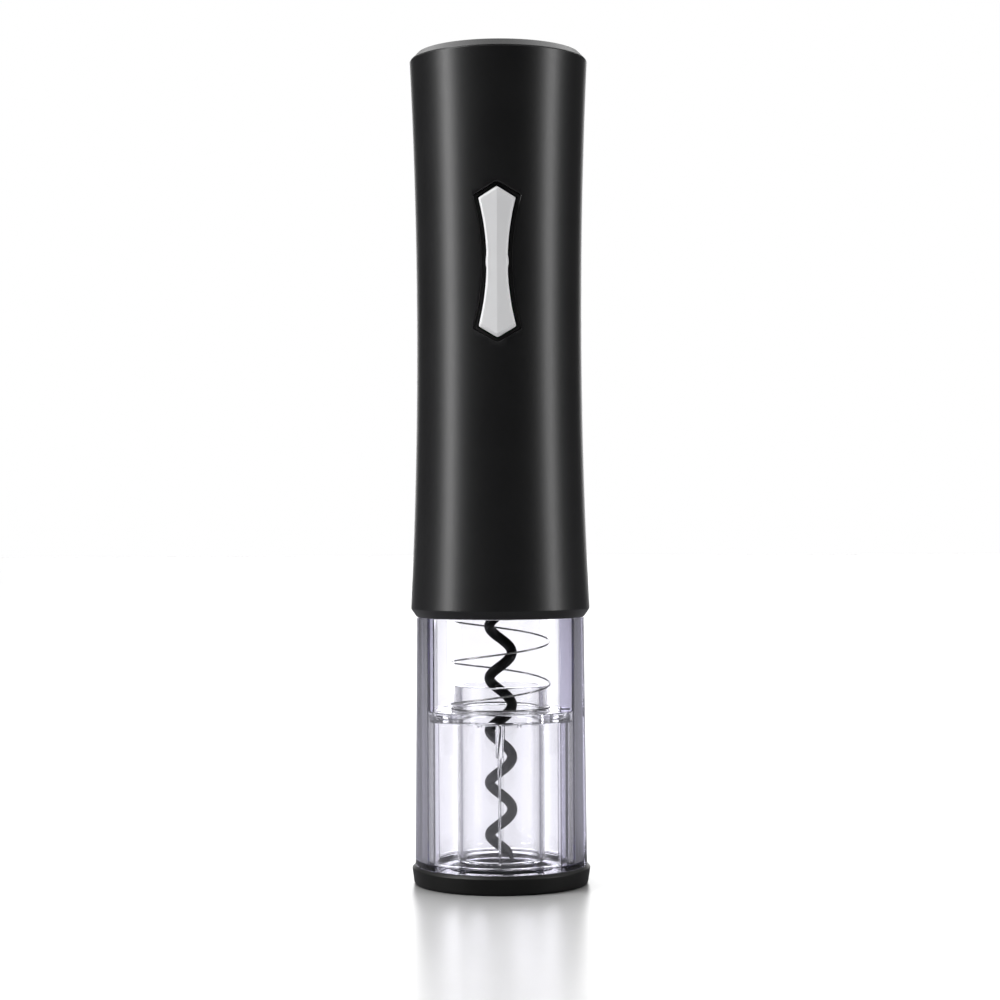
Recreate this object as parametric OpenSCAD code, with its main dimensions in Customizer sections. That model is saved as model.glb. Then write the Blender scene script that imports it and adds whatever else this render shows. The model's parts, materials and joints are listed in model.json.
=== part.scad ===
// Electric wine opener: a waisted casing with its gearmotor and cells, over a clear tube with the worm,
// the sliding cork guide and its spring. Origin at the centre of the foot's underside, Z up, front at -Y.

/* [Casing] */
// Height of the whole opener
total_h = 253; // [252:0.5:256]
// Height of the casing's lower edge above the table
casing_z = 81.4; // [81:0.1:81.8]
// Height of the narrowest place of the casing
waist_z = 169; // [160:1:178]
// Outer radius at the narrowest place
waist_r = 25.13; // [25:0.01:25.6]
// Radius of the long arc that shapes the casing's sides
waist_arc_r = 1700; // [1600:10:1900]
// Wall thickness of the casing
casing_wall = 2.3; // [2:0.1:2.4]
// Height of the chamfers at the casing's lower edge and round the cap
chamfer_h = 2.4; // [2:0.1:2.6]

/* [Clear tube and foot] */
// Outer radius of the clear tube just above the foot
tube_foot_r = 26.25; // [26:0.05:26.4]
// Outer radius of the clear tube at the casing
tube_top_r = 25.45; // [25:0.05:25.5]
// Inner radius of the clear tube
tube_bore_r = 22.7; // [22.6:0.05:22.8]
// Radius of the opening that the bottle's mouth goes through
bottle_mouth_r = 15.75; // [15.3:0.05:16.5]
// Width of the two guide ribs inside the tube
guide_rib_w = 8; // [6:0.5:9]
// Height of the black foot ring
foot_h = 5.8; // [5.6:0.1:6]
// Largest radius of the foot ring
foot_r = 27.2; // [27:0.05:27.25]

/* [Cork guide and spring] */
// Radius of the channel that the cork is drawn into
cork_bore_r = 11.8; // [11.6:0.1:11.9]
// Height of the guide's flange at rest, its upper face
flange_z = 53; // [52.5:0.1:53]
// Outer diameter of the guide spring
spring_d = 30.6; // [30.4:0.1:30.8]
// Wire diameter of the guide spring
spring_wire_d = 0.56; // [0.5:0.02:0.6]
// Rise of one open turn of the guide spring
spring_pitch = 12.6; // [12:0.1:13]

/* [Worm] */
// Outer diameter of the worm's helix
worm_d = 9.95; // [9.5:0.05:10.2]
// Wire diameter of the worm
worm_wire_d = 3.15; // [2.8:0.05:3.3]
// Rise of one turn of the worm
worm_pitch = 15.9; // [15:0.1:16.5]
// Height of the worm's tip above the table
worm_tip_z = 6.6; // [6.2:0.1:7.5]

/* [Rocker] */
// Height of the rocker's pin
rocker_z = 187.1; // [186.5:0.1:187.5]
// Half the rocker's height, from its pin to each point
rocker_half_h = 22.35; // [21:0.05:22.5]
// Half the rocker's width at its shoulders
rocker_half_w = 5.55; // [5:0.05:5.7]
// Half the rocker's width at its waist
rocker_waist_w = 3.1; // [3:0.05:3.3]
// Width of the dark gap round the rocker
rocker_gap = 1.35; // [1.2:0.05:1.4]

/* [Gearbox] */
// Module of all the gears
gear_module = 0.5; // [0.5]
// Teeth of both sun gears
sun_teeth = 12; // [12]
// Teeth of every planet gear
planet_teeth = 24; // [24]
// Flank clearance left between meshing teeth
backlash = 0.12; // [0.1:0.01:0.16]

/* [Hidden] */
$fn = 96;

// casing and cap
cap_z = total_h - chamfer_h;
cap_bore_r = 24.65;
cap_bore_z = cap_z - 4.6;
chamfer_in = 1.7;
socket_r = 23.95;
socket_top_z = casing_z + 6.7;
cap_edge_r = 27.1;

// clear tube and foot
left_rib_r = 20;
right_rib_r = 17.8;
lip_bottom_z = 1.6;
lip_top_z = 5;
guide_stop_z = 7;
guide_stop_r = 20.7;

// cork guide
guide_bottom_z = 7.2;
flange_t = 2.8;
flange_r = 22.2;
skirt_wall = 1.3;
collar_r = 14.25;
collar_h = 7.4;
sleeve_r = 13.4;
mouth_bevel = 0.6;

// nose plate, bush and worm spindle
nose_z = socket_top_z + 0.2;
nose_t = 2;
spring_seat_z = 89.4;
seat_t = 2;
cup_bore_r = spring_d / 2 + 0.6;
spindle_r = 5;
bush_r = 7.05;
gearbox_z = 95.6;

// worm
worm_helix_r = (worm_d - worm_wire_d) / 2;
worm_bend_z = 81;
worm_shank_z = 86.2;
worm_top_z = 96.2;

// gears and gearbox
ring_teeth = sun_teeth + 2 * planet_teeth;
planet_orbit_r = gear_module * (sun_teeth + planet_teeth) / 2;
addendum = 0.8 * gear_module;
dedendum = 1.1 * gear_module;
pressure_angle = 20;
second_gear_z = 99.1;
second_gear_t = 6;
first_gear_z = 108.2;
first_gear_t = 5;
carrier_r = 13.2;
gearbox_top_z = 114.6;
gearbox_r = 17.4;
gearbox_flange_r = 20;
screw_circle_r = 18.2;
cover_t = 2.5;

// motor
motor_z = gearbox_top_z + cover_t;
motor_r = 13.85;
motor_can_h = 31.3;
motor_cap_h = 6.5;
motor_shaft_r = 1.15;
motor_boss_r = 5;

// chassis
chassis_r = 21.7;
chassis_wall = 1.6;
chassis_z = 90.6;
chassis_front_top_z = 160;
chassis_back_top_z = 193.4;
chassis_bolt_x = 17.5;

// cells
holder_z = 193.6;
holder_top_z = 246.4;
cell_r = 7.25;
cell_h = 50.5;
nub_h = 1;
cell_orbit = 7.7;
floor_z = 195.2;
plate_t = 0.4;
cap_plate_z = 247.9;
cell_up_z = 197.3;
cell_down_z = floor_z + plate_t;

// rocker and switch
pivot_y = -20.6;
rocker_ridge_y = -26.4;
rocker_edge_y = -25.6;
rocker_back_y = -23.6;
pin_r = 0.75;
frame_front_y = -23.8;
shoulder_drop = 3.35;
fork_reach = 10;
board_y = -4.6;
board_t = 1.6;
board_z = 163;
board_top_z = 192.4;
board_screw_z = board_z + 3.6;
board_screw_x = 10.5;

// colours
black = [0.06, 0.06, 0.065];
clear = [0.86, 0.86, 0.92, 0.35];
silver = [0.74, 0.74, 0.75];
steel = [0.62, 0.63, 0.65];
brass = [0.78, 0.62, 0.32];
grey = [0.35, 0.36, 0.38];
ivory = [0.85, 0.83, 0.76];

// ---- shared shapes ----

module ring(r_in, r_out, z0, z1) {
    translate([0, 0, z0]) difference() {
        cylinder(r = r_out, h = z1 - z0);
        translate([0, 0, -1]) cylinder(r = r_in, h = z1 - z0 + 2);
    }
}

module rod(r, z0, z1) {
    translate([0, 0, z0]) cylinder(r = r, h = z1 - z0);
}

// a box from one corner to the other
module block(low, high) {
    translate(low) cube(high - low);
}

module round_about(count, r, first = 0) {
    for (k = [0 : count - 1])
        rotate([0, 0, first + 360 * k / count]) translate([r, 0, 0]) children();
}

// a screw along Z with its head above z and its shank below
module screw(r, length, head_r, head_h, z) {
    rod(r, z - length, z + 0.01);
    difference() {
        rod(head_r, z, z + head_h);
        block([-head_r * 0.7, -0.25, z + head_h - 0.5], [head_r * 0.7, 0.25, z + head_h + 1]);
        block([-0.25, -head_r * 0.7, z + head_h - 0.5], [0.25, head_r * 0.7, z + head_h + 1]);
    }
}

// ---- wires swept along a helix ----

function unit(v) = v / norm(v);

function wire_path(turns, steps, radius, height, start_angle) = [
    for (i = [0 : steps]) let (t = turns * i / steps, a = start_angle + 360 * t)
        [radius(t) * cos(a), radius(t) * sin(a), height(t), a]
];

function place(p) = [p[0], p[1], p[2]];

function wire_ring(path, i, r, sides) = let (
    before = place(path[max(i - 1, 0)]),
    after = place(path[min(i + 1, len(path) - 1)]),
    along = unit(after - before),
    out = [cos(path[i][3]), sin(path[i][3]), 0],
    u = unit(out - (out * along) * along),
    v = cross(along, u))
    [for (k = [0 : sides - 1])
        place(path[i]) + r * (cos(360 * k / sides) * u + sin(360 * k / sides) * v)];

module wire(path, radii, sides) {
    last = len(path) - 1;
    points = [for (i = [0 : last]) each wire_ring(path, i, radii(i / last), sides)];
    sheath = [for (i = [0 : last - 1], k = [0 : sides - 1])
        let (n = (k + 1) % sides, a = i * sides, b = a + sides)
        each [[a + k, b + k, b + n], [a + k, b + n, a + n]]];
    first_end = [for (k = [0 : sides - 1]) k];
    last_end = [for (k = [sides - 1 : -1 : 0]) last * sides + k];
    polyhedron(points, concat(sheath, [first_end, last_end]));
}

// ---- casing ----

// outer radius of the casing at a height
function waisted_r(z) = waist_r + (z - waist_z) ^ 2 / (2 * waist_arc_r);

// half section of a body whose side follows the casing's, a distance inset inside it
module waisted_section(inset, z0, z1) {
    steps = 18;
    side = [for (i = [0 : steps]) let (z = z0 + (z1 - z0) * i / steps) [waisted_r(z) - inset, z]];
    polygon(concat([[0, z0]], side, [[0, z1]]));
}

// the rocker's outline, a waisted shape with pointed ends, grown by g on every side
module hourglass(g) {
    w = rocker_half_w + g;
    shoulder = rocker_half_h - shoulder_drop;
    slope = atan2(shoulder_drop, rocker_half_w);
    shoulder_z = shoulder + g * (1 - sin(slope)) / cos(slope);
    tip_z = rocker_half_h + g / cos(slope);
    inset = rocker_half_w - rocker_waist_w;
    side_r = (shoulder * shoulder + inset * inset) / (2 * inset);
    difference() {
        polygon([[0, tip_z], [w, shoulder_z], [w, -shoulder_z], [0, -tip_z], [-w, -shoulder_z],
            [-w, shoulder_z]]);
        for (side = [-1, 1])
            translate([side * (rocker_waist_w + side_r), 0]) circle(r = side_r - g, $fn = 720);
    }
}

// the rocker's outline as a prism between two depths
module hourglass_prism(g, y0, y1) {
    translate([0, y1, rocker_z]) rotate([90, 0, 0]) linear_extrude(y1 - y0) hourglass(g);
}

module body_shell() {
    edge_z = casing_z + chamfer_h;
    color(black) difference() {
        rotate_extrude() {
            waisted_section(0, edge_z, cap_z);
            polygon([[0, casing_z], [waisted_r(edge_z) - chamfer_in, casing_z], [waisted_r(edge_z), edge_z],
                [0, edge_z]]);
        }
        rotate_extrude() waisted_section(casing_wall, socket_top_z, cap_bore_z);
        rod(cap_bore_r, cap_bore_z - 0.01, cap_z + 1);
        rod(socket_r, casing_z - 1, socket_top_z + 0.01);
        hourglass_prism(rocker_gap, -30, -15);
    }
}

module battery_cap() {
    skirt_r = 24.3;
    color(black) difference() {
        rotate_extrude() polygon([[0, cap_z + 0.2], [22.8, cap_z + 0.2], [22.8, cap_z - 3.4],
            [skirt_r, cap_z - 3.4], [skirt_r, cap_z + 0.05], [cap_edge_r, cap_z + 0.05],
            [cap_edge_r - 2.3, total_h], [18, total_h], [17.6, total_h - 0.4], [0, total_h - 0.4]]);
        ring(23.45, skirt_r + 1, cap_z - 2.4, cap_z - 1);
    }
    color(black) ring(18.5, 20.5, cap_plate_z + plate_t, cap_z + 0.3);
    color(black) rod(4, cap_plate_z + plate_t, cap_z + 0.3);
}

module cap_seal() {
    color(grey) rotate_extrude() translate([24.06, cap_z - 1.7]) circle(r = 0.58, $fn = 32);
}

module cap_contact() {
    color(steel) difference() {
        rod(20.4, cap_plate_z, cap_plate_z + plate_t);
        block([-0.6, -16, cap_plate_z - 1], [0.6, 16, cap_plate_z + 1]);
    }
}

// a conical contact spring that stands on z and is narrow at its top
module contact_spring(z, h) {
    wire(wire_path(3, 42, function(t) 3.6 - 0.6 * t, function(t) z + 0.22 + (h - 0.44) * t / 3, 0),
        function(s) 0.22, 6);
}

module cap_springs() {
    top_z = cap_plate_z;
    for (side = [-1, 1]) color(steel) translate([side * cell_orbit, -side * cell_orbit, 0])
        translate([0, 0, top_z]) rotate([180, 0, 0]) contact_spring(0, 1.78);
}

// ---- rocker and switch ----

module rocker_button() {
    color(silver) difference() {
        union() {
            intersection() {
                hourglass_prism(0, -30, rocker_back_y);
                linear_extrude(total_h) polygon([[0, rocker_ridge_y], [rocker_half_w, rocker_edge_y],
                    [rocker_half_w, rocker_back_y + 1], [-rocker_half_w, rocker_back_y + 1],
                    [-rocker_half_w, rocker_edge_y]]);
            }
            block([-2.9, rocker_back_y - 0.5, rocker_z - 2], [2.9, pivot_y, rocker_z + 2]);
            translate([-2.9, pivot_y, rocker_z]) rotate([0, 90, 0]) cylinder(r = 2, h = 5.8);
            block([-1.3, pivot_y, rocker_z - 1.2], [1.3, pivot_y + fork_reach - 2.4, rocker_z + 1.2]);
            for (side = [-1, 1])
                translate([0, 0, side * 1.75]) block([-1.3, pivot_y + fork_reach - 4, rocker_z - 0.55],
                    [1.3, pivot_y + fork_reach + 1, rocker_z + 0.55]);
        }
        translate([-4, pivot_y, rocker_z]) rotate([0, 90, 0]) cylinder(r = pin_r + 0.06, h = 8);
    }
}

module button_frame() {
    color(black) difference() {
        union() {
            hourglass_prism(rocker_gap - 0.08, frame_front_y, -19);
            hourglass_prism(3, -20.4, -19);
            for (side = [-1, 1]) translate([side * 4.7, 0, 0])
                block([-1.2, -21.8, rocker_z - 2.2], [1.2, -19, rocker_z + 2.2]);
        }
        hourglass_prism(0.42, -30, -15);
        translate([-7, pivot_y, rocker_z]) rotate([0, 90, 0]) cylinder(r = pin_r, h = 14);
    }
}

module rocker_pin() {
    color(steel) translate([-5.8, pivot_y, rocker_z]) rotate([0, 90, 0]) cylinder(r = pin_r, h = 11.6);
}

module switch_slider() {
    color(ivory) block([-1.4, -12.2, rocker_z - 0.95], [1.4, -7.2, rocker_z + 0.95]);
    color(ivory) block([-2.3, -8.3, rocker_z - 2.4], [2.3, -7.2, rocker_z + 2.4]);
}

module switch_body() {
    color(steel) difference() {
        block([-4.5, -9, rocker_z - 4.8], [4.5, board_y, rocker_z + 4.8]);
        block([-1.7, -10, rocker_z - 2.1], [1.7, -8, rocker_z + 2.1]);
        block([-2.6, -8.4, rocker_z - 3.6], [2.6, -7, rocker_z + 3.6]);
    }
}

module circuit_board() {
    color([0.12, 0.38, 0.22]) difference() {
        block([-13.5, board_y, board_z], [13.5, board_y + board_t, board_top_z]);
        for (side = [-1, 1]) translate([side * board_screw_x, board_y - 1, board_screw_z])
            rotate([-90, 0, 0]) cylinder(r = 1.3, h = 5);
    }
}

module board_parts() {
    color([0.1, 0.1, 0.35]) translate([-8, board_y - 3, 174]) cylinder(r = 3, h = 8);
    color(black) translate([4, board_y - 1.4, 172]) rotate([0, 90, 0]) cylinder(r = 1.4, h = 6);
    color(brass) block([4, board_y - 2.2, 177], [9, board_y, 180]);
}

module board_screws() {
    for (side = [-1, 1]) color(steel) translate([side * board_screw_x, board_y, board_screw_z])
        rotate([90, 0, 0]) screw(1.2, 7, 2.2, 1.4, 0);
}

// ---- chassis ----

module chassis_shell(top_z, side) {
    difference() {
        union() {
            ring(chassis_r - chassis_wall, chassis_r, chassis_z, top_z);
            ring(gearbox_r + 0.15, chassis_r - 1, 99.9, 101.9);
            ring(motor_r + 0.1, chassis_r - 1, 121, 123);
            ring(motor_r + 0.1, chassis_r - 1, 146, 148);
            for (z = [126, 142], x = [-1, 1]) translate([x * chassis_bolt_x, 0, z]) rotate([90, 0, 0])
                cylinder(r = 2.4, h = 16, center = true);
        }
        block([-30, min(side * 40, side * -0.1), 0], [30, max(side * 40, side * -0.1), total_h]);
        for (z = [126, 142], x = [-1, 1]) translate([x * chassis_bolt_x, 0, z]) rotate([90, 0, 0])
            cylinder(r = 1.1, h = 17, center = true);
    }
}

module chassis_front() {
    color(grey) difference() {
        chassis_shell(chassis_front_top_z, 1);
        for (z = [126, 142], x = [-1, 1]) translate([x * chassis_bolt_x, -8, z]) rotate([90, 0, 0])
            cylinder(r = 2.2, h = 14);
    }
}

module chassis_back() {
    color(grey) difference() {
        union() {
            chassis_shell(chassis_back_top_z, -1);
            for (side = [-1, 1]) translate([side * board_screw_x, board_y + board_t, board_screw_z])
                rotate([-90, 0, 0]) cylinder(r = 2.6, h = 20.5);
        }
        for (side = [-1, 1]) translate([side * board_screw_x, board_y - 1, board_screw_z])
            rotate([-90, 0, 0]) cylinder(r = 1.2, h = 9);
    }
}

module chassis_screws() {
    for (z = [126, 142], x = [-1, 1]) color(steel) translate([x * chassis_bolt_x, -8.02, z])
        rotate([90, 0, 0]) screw(1.1, 15.8, 2, 1.4, 0);
}

// ---- cells ----

module at_cells() {
    for (x = [-1, 1], y = [-1, 1]) translate([x * cell_orbit, y * cell_orbit, 0]) children();
}

module battery_holder() {
    color(grey) difference() {
        union() {
            rod(20.4, holder_z, holder_top_z);
            rod(22.7, holder_z, floor_z);
            rod(24.3, holder_top_z - 1.5, holder_top_z);
        }
        at_cells() rod(cell_r + 0.15, floor_z, holder_top_z + 1);
        rod(4, floor_z + 2, holder_top_z + 1);
        block([-12, -30, holder_z - 1], [12, -17.4, 216]);
        for (x = [-11, 11]) translate([x, -2.4, 0]) rod(0.8, holder_z - 1, floor_z + 1);
    }
}

// a cell standing on z, its nub up (1) or down (-1)
module aa_cell(z, way, x, y) {
    wrap = way > 0 ? [0.2, 0.35, 0.3] : [0.3, 0.32, 0.35];
    base = way > 0 ? z : z + nub_h;
    color(wrap) translate([x * cell_orbit, y * cell_orbit, 0]) {
        rod(cell_r, base, base + cell_h - nub_h);
        rod(2.75, way > 0 ? base + cell_h - nub_h - 0.01 : z, way > 0 ? z + cell_h : base + 0.01);
    }
}

module contact_springs() {
    for (side = [-1, 1]) color(steel) translate([side * cell_orbit, side * cell_orbit, 0])
        contact_spring(floor_z + plate_t, cell_up_z - floor_z - plate_t - 0.02);
}

module contact_plates() {
    color(brass) at_cells() rod(6, floor_z, floor_z + plate_t);
}

// ---- motor ----

module motor_can() {
    color(steel) difference() {
        union() {
            rod(motor_r, motor_z, motor_z + motor_can_h);
            rod(motor_boss_r, motor_z - 1.9, motor_z + 0.01);
        }
        rod(motor_r - 1, motor_z + 1.5, motor_z + motor_can_h + 1);
        rod(motor_shaft_r + 0.06, motor_z - 3, motor_z + 3);
        round_about(2, 8) rod(1.1, motor_z - 1, motor_z + 3);
    }
}

module motor_end_cap() {
    z0 = motor_z + motor_can_h + 0.02;
    color(ivory) difference() {
        union() {
            rod(motor_r - 0.3, z0, z0 + motor_cap_h);
            rod(3.5, z0 + motor_cap_h - 0.01, z0 + motor_cap_h + 1);
        }
        rod(motor_r - 2, z0 - 1, z0 + motor_cap_h - 2);
        rod(motor_shaft_r + 0.06, z0, z0 + motor_cap_h + 2);
        round_about(2, 8) block([-0.4, -1.5, z0], [0.4, 1.5, z0 + motor_cap_h + 2]);
    }
}

module motor_terminals() {
    z0 = motor_z + motor_can_h + motor_cap_h - 4;
    color(brass) round_about(2, 8) block([-0.35, -1.4, z0], [0.35, 1.4, z0 + 7.6]);
}

module motor_magnets() {
    color(black) for (side = [0, 180]) rotate([0, 0, side]) intersection() {
        ring(11, motor_r - 1.1, motor_z + 4, motor_z + 28);
        block([-20, 4, motor_z], [20, 20, motor_z + 40]);
    }
}

module motor_rotor() {
    color(steel) rod(motor_shaft_r, first_gear_z + 0.4, motor_z + motor_can_h + 6);
    color(brass) difference() {
        rod(10.6, motor_z + 6, motor_z + 26);
        round_about(5, 10.6) rod(1.2, motor_z + 5, motor_z + 27);
    }
    color(brass) rod(3.2, motor_z + 25.9, motor_z + 32);
}

module motor_screws() {
    color(steel) round_about(2, 8) translate([0, 0, gearbox_top_z + 1.3]) mirror([0, 0, 1])
        screw(1.05, 3.6, 1.9, 1.1, 0);
}

// ---- gears ----

function involute_turn(base_r, r) = let (a = acos(min(1, base_r / r))) tan(a) * 180 / PI - a;

// one flank of a tooth as [radius, angle from the tooth's centre], from the root out
function flank(teeth, root_r, tip_r, thin) = let (
    pitch_r = gear_module * teeth / 2,
    base_r = pitch_r * cos(pressure_angle),
    half = 90 / teeth - (thin / 2) / pitch_r * 180 / PI + involute_turn(base_r, pitch_r),
    from_r = max(base_r, root_r))
    [[root_r, half - involute_turn(base_r, from_r)],
        for (i = [0 : 3]) let (r = from_r + (tip_r - from_r) * i / 3)
            if (i > 0 || from_r > root_r) [r, half - involute_turn(base_r, r)]];

function gear_points(teeth, root_r, tip_r, thin) = [
    for (k = [0 : teeth - 1]) let (f = flank(teeth, root_r, tip_r, thin), c = 360 * k / teeth) each concat(
        [for (p = f) [p[0] * cos(c - p[1]), p[0] * sin(c - p[1])]],
        [for (i = [len(f) - 1 : -1 : 0]) [f[i][0] * cos(c + f[i][1]), f[i][0] * sin(c + f[i][1])]])
];

// an outer gear with a tooth centred on +X
module gear(teeth, h, bore_r) {
    pitch_r = gear_module * teeth / 2;
    difference() {
        linear_extrude(h) polygon(gear_points(teeth, pitch_r - dedendum, pitch_r + addendum, backlash));
        translate([0, 0, -1]) cylinder(r = bore_r, h = h + 2);
    }
}

// the gap that an inner ring gear leaves, with one of the ring's teeth centred on +X
module ring_gap(h) {
    pitch_r = gear_module * ring_teeth / 2;
    rotate([0, 0, 180 / ring_teeth]) linear_extrude(h)
        polygon(gear_points(ring_teeth, pitch_r - addendum, pitch_r + dedendum, -backlash));
}

module planet(stage_z, h, k) {
    at = 120 * (k - 1);
    color(ivory) translate([planet_orbit_r * cos(at), planet_orbit_r * sin(at), stage_z])
        rotate([0, 0, at + 180 / planet_teeth]) gear(planet_teeth, h, 1.56);
}

// a disc with three planet pins standing on it
module carrier(z0, z1, pin_top_z) {
    rod(carrier_r, z0, z1);
    round_about(3, planet_orbit_r) rod(1.5, z1 - 0.01, pin_top_z);
}

module motor_pinion() {
    color(brass) translate([0, 0, first_gear_z + 0.2]) gear(sun_teeth, 6, motor_shaft_r);
}

module first_carrier() {
    color(steel) difference() {
        carrier(105.9, 107.9, first_gear_z + first_gear_t + 0.4);
        rod(0.8, 105, 109);
    }
    color(steel) translate([0, 0, second_gear_z + 0.2]) gear(sun_teeth, 6.61, 0.8);
}

module output_carrier() {
    color(steel) difference() {
        carrier(96.3, 98.8, second_gear_z + second_gear_t + 0.4);
        translate([0, 0, 95]) cylinder(r = 3.64, h = 5, $fn = 6);
    }
}

module screw_holes(z0, z1) {
    round_about(3, screw_circle_r, 30) rod(1.05, z0, z1);
}

module gearbox_housing() {
    color(grey) difference() {
        union() {
            rod(gearbox_r, gearbox_z, gearbox_top_z);
            rod(gearbox_flange_r, gearbox_z, gearbox_z + 4);
            rod(gearbox_flange_r, gearbox_top_z - 4, gearbox_top_z);
        }
        rod(14.2, gearbox_z - 1, second_gear_z - 0.1);
        translate([0, 0, second_gear_z - 0.2]) ring_gap(20);
        screw_holes(gearbox_z - 1, gearbox_z + 3.6);
        screw_holes(gearbox_top_z - 3.6, gearbox_top_z + 1);
    }
}

module gearbox_cover() {
    color(steel) difference() {
        rod(gearbox_flange_r, gearbox_top_z + 0.02, gearbox_top_z + cover_t - 0.02);
        rod(motor_boss_r + 0.05, gearbox_top_z - 1, motor_z + 1);
        round_about(2, 8) rod(1.15, gearbox_top_z - 1, motor_z + 1);
        round_about(2, 8) rod(2, gearbox_top_z - 1, gearbox_top_z + 1.35);
        screw_holes(gearbox_top_z - 1, motor_z + 1);
    }
}

module gearbox_screws() {
    color(steel) round_about(3, screw_circle_r, 30) screw(1, 5.8, 1.7, 1.2, motor_z);
}

// ---- output and nose ----

module thrust_washer() {
    color(steel) ring(spindle_r + 0.1, 9, 95.5, 96.2);
}

module output_bush() {
    color(brass) difference() {
        union() {
            rod(bush_r, spring_seat_z, 94.42);
            rod(9.5, 94.42, 95.4);
        }
        rod(spindle_r + 0.05, spring_seat_z - 1, 96);
    }
}

module worm_holder() {
    color(black) difference() {
        union() {
            rod(6.8, 86.4, 88.8);
            rod(spindle_r, 88.79, 96.3);
            translate([0, 0, 96.25]) cylinder(r = 3.6, h = 2.5, $fn = 6);
        }
        rod(worm_wire_d / 2 + 0.04, 86, 97);
    }
}

module nose_plate() {
    color(black) difference() {
        union() {
            rod(24.4, nose_z, nose_z + nose_t);
            ring(14, 19.9, nose_z + 1, gearbox_z - 0.05);
            rod(17.4, nose_z, spring_seat_z + seat_t);
            rod(9.5, spring_seat_z, 94.4);
        }
        rod(cup_bore_r, nose_z - 1, spring_seat_z);
        rod(bush_r, spring_seat_z - 1, 96);
        screw_holes(nose_z - 1, gearbox_z + 1);
    }
}

module nose_screws() {
    color(steel) round_about(3, screw_circle_r, 30) translate([0, 0, nose_z]) mirror([0, 0, 1])
        screw(1, 10.6, 1.7, 1.2, 0);
}

// ---- worm, guide, spring and tube ----

// how far the worm's wire is from the axis at a height: a helix, then a bend onto the axis
function worm_reach(z) = z < worm_bend_z ? worm_helix_r
    : z > worm_shank_z ? 0
    : worm_helix_r * (1 + cos(180 * (z - worm_bend_z) / (worm_shank_z - worm_bend_z))) / 2;

module worm() {
    turns = (worm_top_z - worm_tip_z) / worm_pitch;
    helix = wire_path(turns, 150, function(t) worm_reach(worm_tip_z + worm_pitch * t),
        function(t) worm_tip_z + worm_pitch * t, 0);
    color([0.1, 0.1, 0.11]) wire(helix,
        function(s) worm_wire_d / 2 * min(1, 0.12 + s * turns / 0.2), 12);
}

module guide_spring() {
    turns = 2 + (spring_seat_z - flange_z - 1.8 - spring_wire_d) / spring_pitch;
    wire_r = spring_wire_d / 2;
    rise = spring_seat_z - flange_z - spring_wire_d - 0.1;
    path = wire_path(turns, 110, function(t) spring_d / 2 - wire_r,
        function(t) flange_z + 0.05 + wire_r + spring_rise(t, turns, rise), 166);
    color(steel) wire(path, function(s) wire_r, 6);
}

// height of the spring's wire above its lower end after t turns; one turn at each end is closed
function spring_rise(t, turns, rise) = let (
    open = turns - 2,
    closed_rise = spring_wire_d + 0.02,
    open_rise = rise - 2 * closed_rise)
    t < 1 ? closed_rise * t
    : t > turns - 1 ? closed_rise + open_rise + closed_rise * (t - turns + 1)
    : closed_rise + open_rise * (t - 1) / open;

module cork_guide() {
    flange_low_z = flange_z - flange_t;
    color(clear) difference() {
        union() {
            rotate_extrude() polygon([[cork_bore_r, guide_bottom_z + mouth_bevel],
                [cork_bore_r + mouth_bevel, guide_bottom_z], [sleeve_r, guide_bottom_z],
                [sleeve_r, flange_low_z], [flange_r - skirt_wall, flange_low_z],
                [flange_r - skirt_wall, guide_bottom_z + 0.2],
                [flange_r, guide_bottom_z + 0.2], [flange_r, flange_z], [collar_r, flange_z],
                [collar_r, flange_z + collar_h], [cork_bore_r, flange_z + collar_h]]);
            for (side = [-1, 1]) {
                translate([0, side * 16.3, 0]) {
                    block([-0.35, -3.7, guide_bottom_z + 1], [0.35, 3.7, flange_z - 1]);
                    block([-1.1, -3.7, flange_z - 13], [1.1, 3.7, flange_z - 1]);
                }
                for (x = [-5.6, 5.6]) translate([x, side * 16.8, 0])
                    rod(0.75, flange_low_z - 1.3, flange_z - 1);
            }
        }
        for (side = [-1, 1]) {
            block([side > 0 ? right_rib_r - 0.3 : -24, -guide_rib_w / 2 - 0.3, 0],
                [side > 0 ? 24 : 0.3 - left_rib_r, guide_rib_w / 2 + 0.3, flange_z + 1]);
            for (a = [-26, 26]) rotate([0, 0, a]) translate([side * 19.6, 0, 0])
                rod(1.2, flange_z - 1.4, flange_z + 1);
        }
    }
}

module clear_tube() {
    spigot_r = socket_r - 0.05;
    foot_spigot_r = 25.25;
    color(clear) union() {
        rotate_extrude() polygon([[bottle_mouth_r, lip_bottom_z], [foot_spigot_r, lip_bottom_z],
            [foot_spigot_r, foot_h + 0.05], [tube_foot_r, foot_h + 0.05], [tube_top_r, casing_z - 0.05],
            [spigot_r, casing_z - 0.05], [spigot_r, socket_top_z - 0.1], [tube_bore_r, socket_top_z - 0.1],
            [tube_bore_r, guide_stop_z], [guide_stop_r, guide_stop_z], [guide_stop_r, lip_top_z],
            [bottle_mouth_r, lip_top_z]]);
        block([-23.4, -guide_rib_w / 2, lip_top_z - 0.5], [-left_rib_r, guide_rib_w / 2, casing_z - 0.4]);
        block([right_rib_r, -guide_rib_w / 2, lip_top_z - 0.5], [23.4, guide_rib_w / 2, casing_z - 0.4]);
    }
}

module foot_ring() {
    color(black) rotate_extrude() polygon([[22.6, 0], [foot_r - 1, 0], [foot_r - 0.6, 0.6],
        [foot_r, foot_h - 0.9], [foot_r - 0.85, foot_h], [25.3, foot_h], [25.3, lip_bottom_z - 0.05],
        [22.6, lip_bottom_z - 0.05]]);
}

// ---- leads ----

// a round lead through a list of points
module lead(points, r) {
    wire([for (p = points) [p[0], p[1], p[2], 0]], function(s) r, 10);
}

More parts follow.
